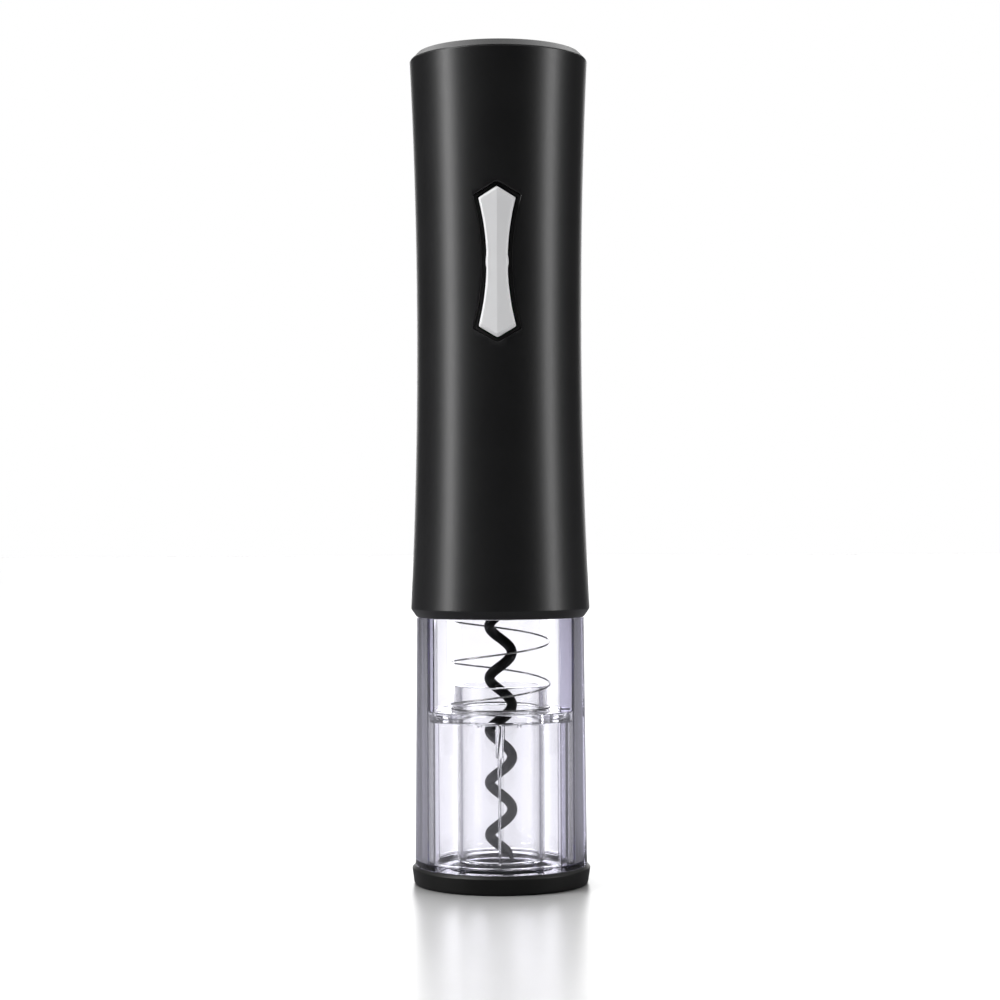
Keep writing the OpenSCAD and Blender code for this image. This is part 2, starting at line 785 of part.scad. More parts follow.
module leads(side) {
    board_mid_y = board_y + board_t + 0.75;
    lead([[side * 8, 0, 158.6], [side * 8, 0, 160.5], [side * 7.6, -0.6, 163], [side * 7, -1.6, 165.5],
        [side * 7, board_mid_y, 168], [side * 7, board_mid_y, 172]], 0.7);
    lead([[side * 11, board_mid_y, 184], [side * 11, board_mid_y, 188], [side * 11, -2.3, 191],
        [side * 11, -2.4, 194.8]], 0.7);
}

module red_lead() {
    color([0.7, 0.08, 0.06]) leads(1);
}

module black_lead() {
    color(black) leads(-1);
}

body_shell();
battery_cap();
cap_seal();
cap_contact();
cap_springs();
rocker_button();
button_frame();
rocker_pin();
switch_slider();
switch_body();
circuit_board();
board_parts();
board_screws();
chassis_front();
chassis_back();
chassis_screws();
battery_holder();
aa_cell(cell_up_z, 1, 1, 1);  // aa_cell_1
aa_cell(cell_down_z, -1, 1, -1);  // aa_cell_2
aa_cell(cell_up_z, 1, -1, -1);  // aa_cell_3
aa_cell(cell_down_z, -1, -1, 1);  // aa_cell_4
contact_springs();
contact_plates();
motor_can();
motor_end_cap();
motor_terminals();
motor_magnets();
motor_rotor();
motor_screws();
motor_pinion();
gearbox_housing();
gearbox_cover();
gearbox_screws();
planet(first_gear_z, first_gear_t, 1);  // first_planet_1
planet(first_gear_z, first_gear_t, 2);  // first_planet_2
planet(first_gear_z, first_gear_t, 3);  // first_planet_3
first_carrier();
planet(second_gear_z, second_gear_t, 1);  // second_planet_1
planet(second_gear_z, second_gear_t, 2);  // second_planet_2
planet(second_gear_z, second_gear_t, 3);  // second_planet_3
output_carrier();
thrust_washer();
output_bush();
worm_holder();
nose_plate();
nose_screws();
worm();
cork_guide();
guide_spring();
clear_tube();
foot_ring();
red_lead();
black_lead();
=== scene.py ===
# Electric wine opener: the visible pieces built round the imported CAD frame, with materials and a studio.
import json
from math import atan2, cos, pi, radians, sin, sqrt, tan

import bmesh
import bpy
from mathutils import Matrix, Vector


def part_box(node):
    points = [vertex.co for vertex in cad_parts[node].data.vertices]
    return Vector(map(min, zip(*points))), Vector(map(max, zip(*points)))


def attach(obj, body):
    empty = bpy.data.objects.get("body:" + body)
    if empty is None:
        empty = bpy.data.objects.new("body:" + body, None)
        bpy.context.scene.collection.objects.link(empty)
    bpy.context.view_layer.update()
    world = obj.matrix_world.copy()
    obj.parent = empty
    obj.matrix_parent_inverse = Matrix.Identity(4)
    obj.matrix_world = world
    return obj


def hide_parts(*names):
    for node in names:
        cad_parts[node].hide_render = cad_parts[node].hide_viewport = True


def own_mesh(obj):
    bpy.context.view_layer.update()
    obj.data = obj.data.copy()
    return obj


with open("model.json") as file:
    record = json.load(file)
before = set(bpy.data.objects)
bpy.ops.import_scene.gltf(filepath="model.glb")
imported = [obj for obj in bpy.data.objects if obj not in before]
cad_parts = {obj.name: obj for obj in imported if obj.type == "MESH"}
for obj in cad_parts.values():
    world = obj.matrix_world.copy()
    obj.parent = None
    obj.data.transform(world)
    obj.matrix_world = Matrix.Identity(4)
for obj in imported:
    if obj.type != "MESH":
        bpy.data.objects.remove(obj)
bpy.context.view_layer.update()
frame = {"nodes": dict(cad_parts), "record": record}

MM = 0.001

# ---- sizes, in millimetres, worked out from the frame ----


def mm_box(node):
    """Lowest and highest corner of a CAD node in millimetres."""
    low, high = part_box(node)
    return [c / MM for c in low], [c / MM for c in high]


casing_low, casing_high = mm_box("body_shell")
cap_high = mm_box("battery_cap")[1]
tube_low, tube_high = mm_box("clear_tube")
foot_high = mm_box("foot_ring")[1]
guide_low, guide_high = mm_box("cork_guide")
spring_low, spring_high = mm_box("guide_spring")
rocker_low, rocker_high = mm_box("rocker_button")

CASING_Z = casing_low[2]
CAP_Z = casing_high[2]
TOTAL_H = cap_high[2]
WAIST_Z = 169
WAIST_R = 25.13
WAIST_ARC_R = 1700
CASING_WALL = 2.3
CHAMFER_H = 2.4
CHAMFER_IN = 1.7
SOCKET_R = 23.95
SOCKET_TOP_Z = CASING_Z + 6.7
CAP_BORE_R = 24.65
CAP_BORE_DEPTH = 4.6

FOOT_H = foot_high[2]
FOOT_R = foot_high[0]
TUBE_FOOT_R = tube_high[0]
TUBE_TOP_R = 25.45
TUBE_BORE_R = 22.7
LEFT_RIB_R = 20
RIGHT_RIB_R = 17.8
RIB_HALF_W = 4
LIP_BOTTOM_Z = tube_low[2]
LIP_TOP_Z = 5
GUIDE_STOP_Z = 7
GUIDE_STOP_R = 20.7
MOUTH_R = 15.75

GUIDE_Z = guide_low[2]
FLANGE_Z = 53
FLANGE_T = 2.8
FLANGE_R = 22.2
SKIRT_WALL = 1.3
COLLAR_R = 14.25
COLLAR_TOP_Z = guide_high[2]
SLEEVE_R = 13.4
CORK_BORE_R = 11.8
MOUTH_BEVEL = 0.6

ROCKER_Z = (rocker_low[2] + rocker_high[2]) / 2
ROCKER_HALF_H = (rocker_high[2] - rocker_low[2]) / 2
ROCKER_HALF_W = rocker_high[0]
ROCKER_WAIST_W = 3.1
ROCKER_RIDGE_Y = rocker_low[1]
ROCKER_EDGE_Y = ROCKER_RIDGE_Y + 0.8
ROCKER_BACK_Y = -23.6
ROCKER_GAP = 1.35
ROCKER_CORNER_R = 0.9
WINDOW_CORNER_R = 2
SHOULDER_DROP = 3.35

ROCKER_PIVOT_Y = -20.6
PIN_R = 0.75
FORK_REACH = 10

SPRING_R = spring_high[0]
SPRING_WIRE_R = 0.28
SPRING_PITCH = 12.6
SPRING_SEAT_Z = 89.4
SPRING_FIRST_ANGLE = radians(166)

WORM_HELIX_R = 3.4
WORM_WIRE_R = 1.575
WORM_PITCH = 15.9
WORM_TIP_Z = 6.6
WORM_BEND_Z = 81
WORM_SHANK_Z = 86.2
WORM_TOP_Z = 96.2

SEGMENTS = 256


def waisted_r(z):
    """Outer radius of the casing at a height."""
    return WAIST_R + (z - WAIST_Z) ** 2 / (2 * WAIST_ARC_R)


# ---- mesh tools ----


def finish_mesh(name, bm, sharp=35):
    """Turns a bmesh in millimetres into an object in metres, smooth except at edges sharper than an angle."""
    bmesh.ops.remove_doubles(bm, verts=bm.verts, dist=1e-4)
    bmesh.ops.recalc_face_normals(bm, faces=bm.faces)
    bmesh.ops.scale(bm, vec=(MM, MM, MM), verts=bm.verts)
    mesh = bpy.data.meshes.new(name)
    bm.to_mesh(mesh)
    bm.free()
    mesh.shade_smooth()
    mesh.set_sharp_from_angle(angle=radians(sharp))
    piece = bpy.data.objects.new(name, mesh)
    bpy.context.scene.collection.objects.link(piece)
    return piece


def soften(outline, radius, steps=4):
    """Rounds the corners of a closed outline. A point's third value, where it has one, is its own radius.

    A point just outside each arc keeps the long flat faces beside it flat in their shading.
    """
    out = []
    count = len(outline)
    for i, point in enumerate(outline):
        here = Vector(point[:2])
        before = Vector(outline[i - 1][:2]) - here
        after = Vector(outline[(i + 1) % count][:2]) - here
        corner_r = point[2] if len(point) > 2 else radius
        half = before.angle(after) / 2
        reach = min(corner_r / max(tan(half), 1e-6), 0.45 * before.length, 0.45 * after.length)
        if corner_r <= 0 or half > radians(88):
            out.append(tuple(here))
            continue
        start = here + before.normalized() * reach
        end = here + after.normalized() * reach
        out.append(tuple(here + before.normalized() * reach * 1.08))
        for k in range(steps + 1):
            t = k / steps
            out.append(tuple((1 - t) ** 2 * start + 2 * t * (1 - t) * here + t * t * end))
        out.append(tuple(here + after.normalized() * reach * 1.08))
    return out


def lathe(name, outline, segments=SEGMENTS):
    """A closed outline of (radius, height) turned about Z."""
    bm = bmesh.new()
    rings = []
    for k in range(segments):
        a = 2 * pi * k / segments
        rings.append([bm.verts.new((r * cos(a), r * sin(a), z)) for r, z in outline])
    count = len(outline)
    for k in range(segments):
        near, far = rings[k], rings[(k + 1) % segments]
        for i in range(count):
            j = (i + 1) % count
            bm.faces.new((near[i], far[i], far[j], near[j]))
    bmesh.ops.remove_doubles(bm, verts=bm.verts, dist=1e-4)
    bmesh.ops.dissolve_degenerate(bm, edges=bm.edges, dist=1e-5)
    return finish_mesh(name, bm)


def sweep(name, centres, outs, radii, sides):
    """A round wire along centres; outs are directions that each ring starts at."""
    bm = bmesh.new()
    rings = []
    for i, centre in enumerate(centres):
        here = Vector(centre)
        along = (Vector(centres[min(i + 1, len(centres) - 1)]) - Vector(centres[max(i - 1, 0)])).normalized()
        out = Vector(outs[i])
        u = (out - out.dot(along) * along).normalized()
        v = along.cross(u)
        rings.append([
            bm.verts.new(here + radii[i] * (cos(2 * pi * k / sides) * u + sin(2 * pi * k / sides) * v))
            for k in range(sides)
        ])
    for near, far in zip(rings, rings[1:]):
        for k in range(sides):
            n = (k + 1) % sides
            bm.faces.new((near[k], near[n], far[n], far[k]))
    bm.faces.new(rings[0][::-1])
    bm.faces.new(rings[-1])
    return finish_mesh(name, bm)


def loft(name, loops):
    """Closed loops of points joined in order, with the first and last filled."""
    bm = bmesh.new()
    rows = [[bm.verts.new(p) for p in loop] for loop in loops]
    count = len(rows[0])
    for near, far in zip(rows, rows[1:]):
        for k in range(count):
            n = (k + 1) % count
            bm.faces.new((near[k], near[n], far[n], far[k]))
    bm.faces.new(rows[0][::-1])
    bm.faces.new(rows[-1])
    return finish_mesh(name, bm)


def box_piece(name, low, high):
    """A box in millimetres, used to join to or cut from other pieces."""
    bm = bmesh.new()
    bmesh.ops.create_cube(bm, size=1)
    for v in bm.verts:
        v.co = Vector([(a + b) / 2 + c * (b - a) for a, b, c in zip(low, high, v.co)])
    return finish_mesh(name, bm)


def rod_piece(name, radius, low, high, x=0, y=0):
    """An upright rod in millimetres, used to join to or cut from other pieces."""
    rod = lathe(name, [(0, low), (radius, low), (radius, high), (0, high)], 32)
    rod.data.transform(Matrix.Translation((x * MM, y * MM, 0)))
    return rod


def together(*pieces):
    """One object from several that don't touch."""
    bm = bmesh.new()
    for piece in pieces:
        bm.from_mesh(piece.data)
    for piece in pieces[1:]:
        bpy.data.objects.remove(piece)
    bm.to_mesh(pieces[0].data)
    bm.free()
    return pieces[0]


def combine(piece, tool, operation, sharp=35):
    """Applies a boolean with tool to piece and removes tool."""
    modifier = piece.modifiers.new("combine", "BOOLEAN")
    modifier.operation = operation
    modifier.solver = "EXACT"
    modifier.object = tool
    graph = bpy.context.evaluated_depsgraph_get()
    mesh = bpy.data.meshes.new_from_object(piece.evaluated_get(graph))
    piece.modifiers.clear()
    old = piece.data
    piece.data = mesh
    mesh.name = piece.name
    bpy.data.meshes.remove(old)
    bpy.data.objects.remove(tool)
    mesh.shade_smooth()
    mesh.set_sharp_from_angle(angle=radians(sharp))
    return piece


# ---- materials ----


def new_material(name):
    """A material with its Principled shader and the node tree's tools."""
    material = bpy.data.materials.new(name)
    material.use_nodes = True
    return material, material.node_tree, material.node_tree.nodes["Principled BSDF"]


def object_noise(tree, scale, detail=3, stretch=(1, 1, 1)):
    """A noise over the object's own coordinates, scale in features per metre."""
    coords = tree.nodes.new("ShaderNodeTexCoord")
    mapping = tree.nodes.new("ShaderNodeMapping")
    mapping.inputs["Scale"].default_value = stretch
    noise = tree.nodes.new("ShaderNodeTexNoise")
    noise.inputs["Scale"].default_value = scale
    noise.inputs["Detail"].default_value = detail
    tree.links.new(coords.outputs["Object"], mapping.inputs["Vector"])
    tree.links.new(mapping.outputs["Vector"], noise.inputs["Vector"])
    return noise.outputs["Fac"]


def spread(tree, value, low, high):
    """Maps a noise to a range."""
    ramp = tree.nodes.new("ShaderNodeMapRange")
    ramp.inputs["From Min"].default_value = 0.3
    ramp.inputs["From Max"].default_value = 0.7
    ramp.inputs["To Min"].default_value = low
    ramp.inputs["To Max"].default_value = high
    tree.links.new(value, ramp.inputs["Value"])
    return ramp.outputs["Result"]


def calculated(tree, operation, first, second):
    """A sum, product or comparison of a socket with another or with a number."""
    node = tree.nodes.new("ShaderNodeMath")
    node.operation = operation
    tree.links.new(first, node.inputs[0])
    if isinstance(second, (int, float)):
        node.inputs[1].default_value = second
    else:
        tree.links.new(second, node.inputs[1])
    return node.outputs["Value"]


def colour_between(tree, value, first, second):
    """A colour that goes from first to second with a noise."""
    mix = tree.nodes.new("ShaderNodeMix")
    mix.data_type = "RGBA"
    tree.links.new(spread(tree, value, 0, 1), mix.inputs["Factor"])
    mix.inputs["A"].default_value = (*first, 1)
    mix.inputs["B"].default_value = (*second, 1)
    return mix.outputs["Result"]


def mixed(tree, share, first, second):
    """A shader that goes from first to second as a share goes from nought to one."""
    mix = tree.nodes.new("ShaderNodeMixShader")
    tree.links.new(share, mix.inputs["Fac"])
    tree.links.new(first, mix.inputs[1])
    tree.links.new(second, mix.inputs[2])
    return mix.outputs["Shader"]


def matt_card(tree, colour):
    """A plain matt surface, as of a card; the floor uses a dark one as painted shade and a near-white one as
    painted light.
    """
    card = tree.nodes.new("ShaderNodeBsdfDiffuse")
    card.inputs["Color"].default_value = (*colour, 1)
    return card.outputs["BSDF"]


def bumped(tree, shader, height, strength, distance):
    """Adds a fine bump from a height."""
    bump = tree.nodes.new("ShaderNodeBump")
    bump.inputs["Strength"].default_value = strength
    bump.inputs["Distance"].default_value = distance
    tree.links.new(height, bump.inputs["Height"])
    tree.links.new(bump.outputs["Normal"], shader.inputs["Normal"])


def moulded(name, first, second, rough, grain=2600, bump=0.06, specular=0.5):
    """Moulded plastic or rubber: a fine grain in its surface and slight mottling of its colour."""
    material, tree, shader = new_material(name)
    fine = object_noise(tree, grain)
    broad = object_noise(tree, 60)
    tree.links.new(colour_between(tree, broad, first, second), shader.inputs["Base Color"])
    tree.links.new(spread(tree, fine, rough - 0.03, rough + 0.03), shader.inputs["Roughness"])
    shader.inputs["Specular IOR Level"].default_value = specular
    bumped(tree, shader, fine, bump, 0.00003)
    return material


def metal(name, first, second, rough, stretch=(1, 1, 1), grain=900):
    """Metal with a drawn or brushed grain along the axes that stretch makes small."""
    material, tree, shader = new_material(name)
    fine = object_noise(tree, grain, stretch=stretch)
    tree.links.new(colour_between(tree, fine, first, second), shader.inputs["Base Color"])
    tree.links.new(spread(tree, fine, rough - 0.05, rough + 0.05), shader.inputs["Roughness"])
    shader.inputs["Metallic"].default_value = 1
    bumped(tree, shader, fine, 0.05, 0.00002)
    return material


def rib_faces(tree):
    """One on the faces of the tube's two inner ribs and nought on its wall, from the object's coordinates."""
    coords = tree.nodes.new("ShaderNodeTexCoord")
    parts = tree.nodes.new("ShaderNodeSeparateXYZ")
    tree.links.new(coords.outputs["Object"], parts.inputs["Vector"])
    out = calculated(tree, "ABSOLUTE", parts.outputs["X"], 0)
    across = calculated(tree, "ABSOLUTE", parts.outputs["Y"], 0)
    limits = (
        calculated(tree, "LESS_THAN", across, (RIB_HALF_W + 0.01) * MM),
        calculated(tree, "LESS_THAN", out, (TUBE_BORE_R - 0.1) * MM),
        calculated(tree, "GREATER_THAN", out, (RIGHT_RIB_R - 0.01) * MM),
        calculated(tree, "GREATER_THAN", parts.outputs["Z"], (GUIDE_STOP_Z + 0.1) * MM),
    )
    mask = limits[0]
    for limit in limits[1:]:
        mask = calculated(tree, "MULTIPLY", mask, limit)
    return mask


def clear_plastic(name, first, second, waviness, depth_tint, density, rib_tint=None):
    """Clear moulded plastic with faint flow lines, tinted where thick and, with a rib tint, on its ribs."""
    material, tree, shader = new_material(name)
    flow = object_noise(tree, 90, detail=1, stretch=(1, 1, 0.25))
    colour = colour_between(tree, flow, first, second)
    rough = spread(tree, flow, 0, 0.02)
    if rib_tint:
        mask = rib_faces(tree)
        mix = tree.nodes.new("ShaderNodeMix")
        mix.data_type = "RGBA"
        tree.links.new(mask, mix.inputs["Factor"])
        tree.links.new(colour, mix.inputs["A"])
        mix.inputs["B"].default_value = (*rib_tint, 1)
        colour = mix.outputs["Result"]
        rough = calculated(tree, "ADD", rough, calculated(tree, "MULTIPLY", mask, 0.05))
    tree.links.new(colour, shader.inputs["Base Color"])
    tree.links.new(rough, shader.inputs["Roughness"])
    shader.inputs["IOR"].default_value = 1.5
    shader.inputs["Transmission Weight"].default_value = 1
    bumped(tree, shader, flow, waviness, 0.0001)
    absorption = tree.nodes.new("ShaderNodeVolumeAbsorption")
    absorption.inputs["Color"].default_value = (*depth_tint, 1)
    absorption.inputs["Density"].default_value = density
    tree.links.new(absorption.outputs["Volume"], tree.nodes["Material Output"].inputs["Volume"])
    return material


MATERIALS = {
    "casing_black": moulded("casing satin black", (0.005, 0.005, 0.0055), (0.007, 0.007, 0.0075), 0.36),
    "foot_black": moulded(
        "foot satin black", (0.004, 0.004, 0.0035), (0.006, 0.006, 0.0055), 0.42, specular=0.3),
    "frame_black": moulded("frame matt black", (0.004, 0.004, 0.004), (0.007, 0.007, 0.007), 0.55),
    "button_silver": moulded("button silver paint", (0.70, 0.70, 0.71), (0.74, 0.74, 0.75), 0.4, 5000, 0.03),
    "clear_plastic": clear_plastic(
        "tube clear plastic", (0.985, 0.985, 0.99), (0.99, 0.99, 0.995), 0.04, (0.22, 0.16, 0.56), 28,
        (0.66, 0.65, 0.71)),
    "guide_clear": clear_plastic(
        "guide clear plastic", (0.99, 0.99, 0.992), (0.995, 0.995, 0.995), 0.06, (0.25, 0.3, 0.45), 4),
    "spring_steel": metal("spring wire", (0.34, 0.34, 0.33), (0.44, 0.44, 0.42), 0.28, grain=3000),
    "worm_coating": moulded(
        "worm black coating", (0.003, 0.003, 0.0035), (0.006, 0.006, 0.007), 0.5, 1500, 0.2, specular=0.25),
    "steel": metal("turned steel", (0.50, 0.51, 0.52), (0.60, 0.61, 0.62), 0.35, (1, 1, 6)),
    "brass": metal("brass", (0.62, 0.46, 0.20), (0.72, 0.55, 0.26), 0.35, (1, 1, 6)),
    "grey_plastic": moulded("grey plastic", (0.06, 0.06, 0.065), (0.08, 0.08, 0.085), 0.6, 1500, 0.15),
    "gear_plastic": moulded("ivory plastic", (0.68, 0.64, 0.54), (0.74, 0.70, 0.60), 0.38),
    "seal_rubber": moulded("seal rubber", (0.012, 0.012, 0.012), (0.02, 0.02, 0.02), 0.7, 1200, 0.2),
    "board_green": moulded("board green", (0.01, 0.09, 0.035), (0.02, 0.13, 0.05), 0.4, 400, 0.1),
    "component_blue": moulded("component blue", (0.015, 0.03, 0.12), (0.03, 0.05, 0.17), 0.35),
    "cell_wrap": metal("cell wrap", (0.05, 0.16, 0.12), (0.07, 0.20, 0.15), 0.3, (1, 1, 0.1)),
    "lead_red": moulded("red insulation", (0.35, 0.015, 0.012), (0.42, 0.02, 0.015), 0.45),
    "lead_black": moulded("black insulation", (0.01, 0.01, 0.01), (0.015, 0.015, 0.015), 0.45),
    "magnet_ferrite": moulded("ferrite", (0.03, 0.03, 0.033), (0.05, 0.05, 0.055), 0.7, 800, 0.3),
}


def place(piece, body, slot, *nodes):
    """Gives a finished piece its body and its material, and hides the CAD nodes that it stands for."""
    piece.data.materials.clear()
    piece.data.materials.append(MATERIALS[slot])
    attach(piece, body)
    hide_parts(*nodes)
    return piece


def dress_frame():
    """Gives every CAD node its slot's material."""
    slots = {part["node"]: part["material_slot"] for part in frame["record"]["subparts"]}
    for node, obj in frame["nodes"].items():
        for index in range(max(1, len(obj.material_slots))):
            if not obj.material_slots:
                obj.data.materials.append(MATERIALS[slots[node]])
            obj.material_slots[index].material = MATERIALS[slots[node]]


# ---- casing and cap ----


def hourglass(grow):
    """Points of the rocker's outline grown by a distance, anticlockwise seen from the front: (x, z)."""
    per_side = 40
    shoulder = ROCKER_HALF_H - SHOULDER_DROP
    slope = atan2(SHOULDER_DROP, ROCKER_HALF_W)
    shoulder_z = shoulder + grow * (1 - sin(slope)) / cos(slope)
    tip_z = ROCKER_HALF_H + grow / cos(slope)
    inset = ROCKER_HALF_W - ROCKER_WAIST_W
    side_r = (shoulder ** 2 + inset ** 2) / (2 * inset)
    right = []
    for k in range(per_side + 1):
        z = -shoulder_z + 2 * shoulder_z * k / per_side
        right.append((ROCKER_WAIST_W + side_r - sqrt((side_r - grow) ** 2 - z * z), z))
    return [(0, -tip_z)] + right + [(0, tip_z)] + [(-x, -z) for x, z in right]


def rounded_hourglass(grow, radius):
    """The outline with its six corners rounded and its points evenly spaced."""
    base = hourglass(grow)
    corners = {0, 1, len(base) // 2 - 1, len(base) // 2, len(base) // 2 + 1, len(base) - 1}
    points = soften([(x, z, radius if i in corners else 0) for i, (x, z) in enumerate(base)], radius, 8)
    return respace(points, 480)


def respace(points, count):
    """The same closed outline with a number of evenly spaced points, starting at the first."""
    loop = [Vector(p) for p in points]
    loop.append(loop[0])
    steps = [0]
    for a, b in zip(loop, loop[1:]):
        steps.append(steps[-1] + (b - a).length)
    out = []
    k = 0
    for i in range(count):
        at = steps[-1] * i / count
        while steps[k + 1] < at:
            k += 1
        t = (at - steps[k]) / max(steps[k + 1] - steps[k], 1e-9)
        out.append(tuple(loop[k].lerp(loop[k + 1], t)))
    return out


def on_casing(points, above):
    """Points of the front outline laid on the casing's surface, or a height above it."""
    out = []
    for x, z in points:
        z_row = z + ROCKER_Z
        out.append((x, -sqrt((waisted_r(z_row) + above) ** 2 - x * x), z_row))
    return out


def make_casing():
    """The waisted casing with its window, whose rim is rounded."""
    edge_z = CASING_Z + CHAMFER_H
    edge_r = waisted_r(edge_z)
    rows = 60
    outer = [(waisted_r(z), z, 0) for z in (edge_z + (CAP_Z - edge_z) * k / rows for k in range(1, rows))]
    inner_low = SOCKET_TOP_Z
    inner_high = CAP_Z - CAP_BORE_DEPTH
    inner = [
        (waisted_r(z) - CASING_WALL, z, 0)
        for z in (inner_high + (inner_low - inner_high) * k / rows for k in range(rows + 1))
    ]
    outline = [(edge_r - CHAMFER_IN, CASING_Z, 0.25), (edge_r, edge_z, 0.5)] + outer
    outline += [(waisted_r(CAP_Z), CAP_Z, 0.18), (CAP_BORE_R, CAP_Z, 0.1), (CAP_BORE_R, inner_high, 0)]
    outline += inner + [(SOCKET_R, inner_low, 0), (SOCKET_R, CASING_Z, 0.1)]
    casing = lathe("casing", soften(outline, 0))
    rim = 0.3
    flare = 1.2
    opening = rounded_hourglass(ROCKER_GAP, WINDOW_CORNER_R)
    loops = [on_casing(opening, -6), on_casing(opening, -rim)]
    for k in range(1, 5):
        a = radians(15 * k)
        grow = ROCKER_GAP + rim * (1 - cos(a))
        loops.append(on_casing(rounded_hourglass(grow, WINDOW_CORNER_R), -rim + rim * sin(a)))
    flared = rounded_hourglass(ROCKER_GAP + flare, WINDOW_CORNER_R)
    loops += [on_casing(flared, 0.6), on_casing(flared, 5)]
    return combine(casing, loft("window", loops), "DIFFERENCE")


def make_cap():
    """The cap: a chamfered disc with a skirt that goes into the casing."""
    edge_r = cap_high[0]
    top_r = edge_r - 2.3
    low = CAP_Z + 0.05
    skirt_r, skirt_bore_r, skirt_low = 24.3, 22.8, CAP_Z - 3.4
    roof_z = CAP_Z + 0.2
    groove_r, groove_low, groove_high = 23.45, CAP_Z - 2.4, CAP_Z - 1
    disc_r, disc_drop = 17.6, 0.4
    outline = [
        (0, roof_z, 0), (skirt_bore_r, roof_z, 0.2), (skirt_bore_r, skirt_low, 0.2),
        (skirt_r, skirt_low, 0.3), (skirt_r, groove_low, 0.1), (groove_r, groove_low, 0.1),
        (groove_r, groove_high, 0.1), (skirt_r, groove_high, 0.1),
        (skirt_r, low, 0), (edge_r, low, 0.18), (top_r, TOTAL_H, 0.45),
        (disc_r + disc_drop, TOTAL_H, 0.2), (disc_r, TOTAL_H - disc_drop, 0.2), (0, TOTAL_H - disc_drop, 0),
    ]
    return lathe("cap", soften(outline, 0))


# ---- rocker ----


def make_rocker():
    """The rocker's plate with a ridge, a bevel all round and a small swelling at its pivot, and its fork."""
    bevel = 0.55
    bevel_drop = 0.45
    tip_z, tip_blend = 17.6, 1.2
    tip_bevel_share, tip_steepness = 0.014, 1.8

    def front_y(x):
        return ROCKER_RIDGE_Y + (ROCKER_EDGE_Y - ROCKER_RIDGE_Y) * abs(x) / ROCKER_HALF_W

    def swelling(z):
        return 0.28 * max(0, 1 - (z / 2.3) ** 2) ** 2

    def loop(grow, drop=None):
        """The outline grown by a distance, at a depth below the front face or, without one, at the back."""
        points = []
        for x, z in rounded_hourglass(grow, ROCKER_CORNER_R):
            x += swelling(z) * (1 if x > 0 else -1) if abs(x) > 1 else 0
            tip = max(0, min(1, (abs(z) - tip_z) / tip_blend))
            y = ROCKER_BACK_Y if drop is None else front_y(x) + drop * (1 + tip_steepness * tip)
            z *= 1 - tip_bevel_share * tip if grow < -bevel / 2 else 1
            points.append((x, y, z + ROCKER_Z))
        return points

    bevel_rows = ((0, bevel_drop + 0.12), (-0.04, bevel_drop), (-bevel + 0.08, 0.06), (-bevel - 0.02, 0))
    rims = [loop(0)] + [loop(grow, drop) for grow, drop in bevel_rows]
    bm = bmesh.new()
    rows = [[bm.verts.new(p) for p in points] for points in rims]
    count = len(rows[0])
    for near, far in zip(rows, rows[1:]):
        for k in range(count):
            n = (k + 1) % count
            bm.faces.new((near[k], near[n], far[n], far[k]))
    bm.faces.new(rows[0][::-1])
    front = rows[-1]
    half = count // 2
    right, left = front[: half + 1], [front[0]] + front[half:][::-1]
    spine = [bm.verts.new((0, ROCKER_RIDGE_Y, v.co.z)) for v in right[1:-1]]
    middle = [right[0]] + spine + [right[-1]]
    for side in (right, left):
        for k in range(half):
            corners = [side[k], side[k + 1], middle[k + 1], middle[k]]
            bm.faces.new(list(dict.fromkeys(corners)))
    plate = finish_mesh("rocker", bm, 15)
    hub_half_w, hub_r = 2.9, 2
    arm_half_w, arm_half_h = 1.3, 1.2
    prong_z, prong_half_h = 1.75, 0.55
    reach = ROCKER_PIVOT_Y + FORK_REACH
    at_pivot = Matrix.Translation((0, ROCKER_PIVOT_Y * MM, ROCKER_Z * MM)) @ Matrix.Rotation(pi / 2, 4, "Y")
    low = (-hub_half_w, ROCKER_BACK_Y - 0.5, ROCKER_Z - hub_r)
    high = (hub_half_w, ROCKER_PIVOT_Y, ROCKER_Z + hub_r)
    plate = combine(plate, box_piece("neck", low, high), "UNION", 15)
    boss = lathe("boss", [(0, -hub_half_w), (hub_r, -hub_half_w), (hub_r, hub_half_w), (0, hub_half_w)], 64)
    boss.data.transform(at_pivot)
    plate = combine(plate, boss, "UNION", 15)
    low = (-arm_half_w, ROCKER_PIVOT_Y, ROCKER_Z - arm_half_h)
    high = (arm_half_w, reach - 2.4, ROCKER_Z + arm_half_h)
    plate = combine(plate, box_piece("arm", low, high), "UNION", 15)
    prongs = []
    for z in (ROCKER_Z - prong_z, ROCKER_Z + prong_z):
        low = (-arm_half_w, reach - 4, z - prong_half_h)
        high = (arm_half_w, reach + 1, z + prong_half_h)
        prongs.append(box_piece("prong", low, high))
    plate = combine(plate, together(*prongs), "UNION", 15)
    pin_bore_r = PIN_R + 0.06
    bore = lathe("bore", [(0, -4), (pin_bore_r, -4), (pin_bore_r, 4), (0, 4)], 48)
    bore.data.transform(at_pivot)
    return combine(plate, bore, "DIFFERENCE", 15)


# ---- clear tube and foot ----


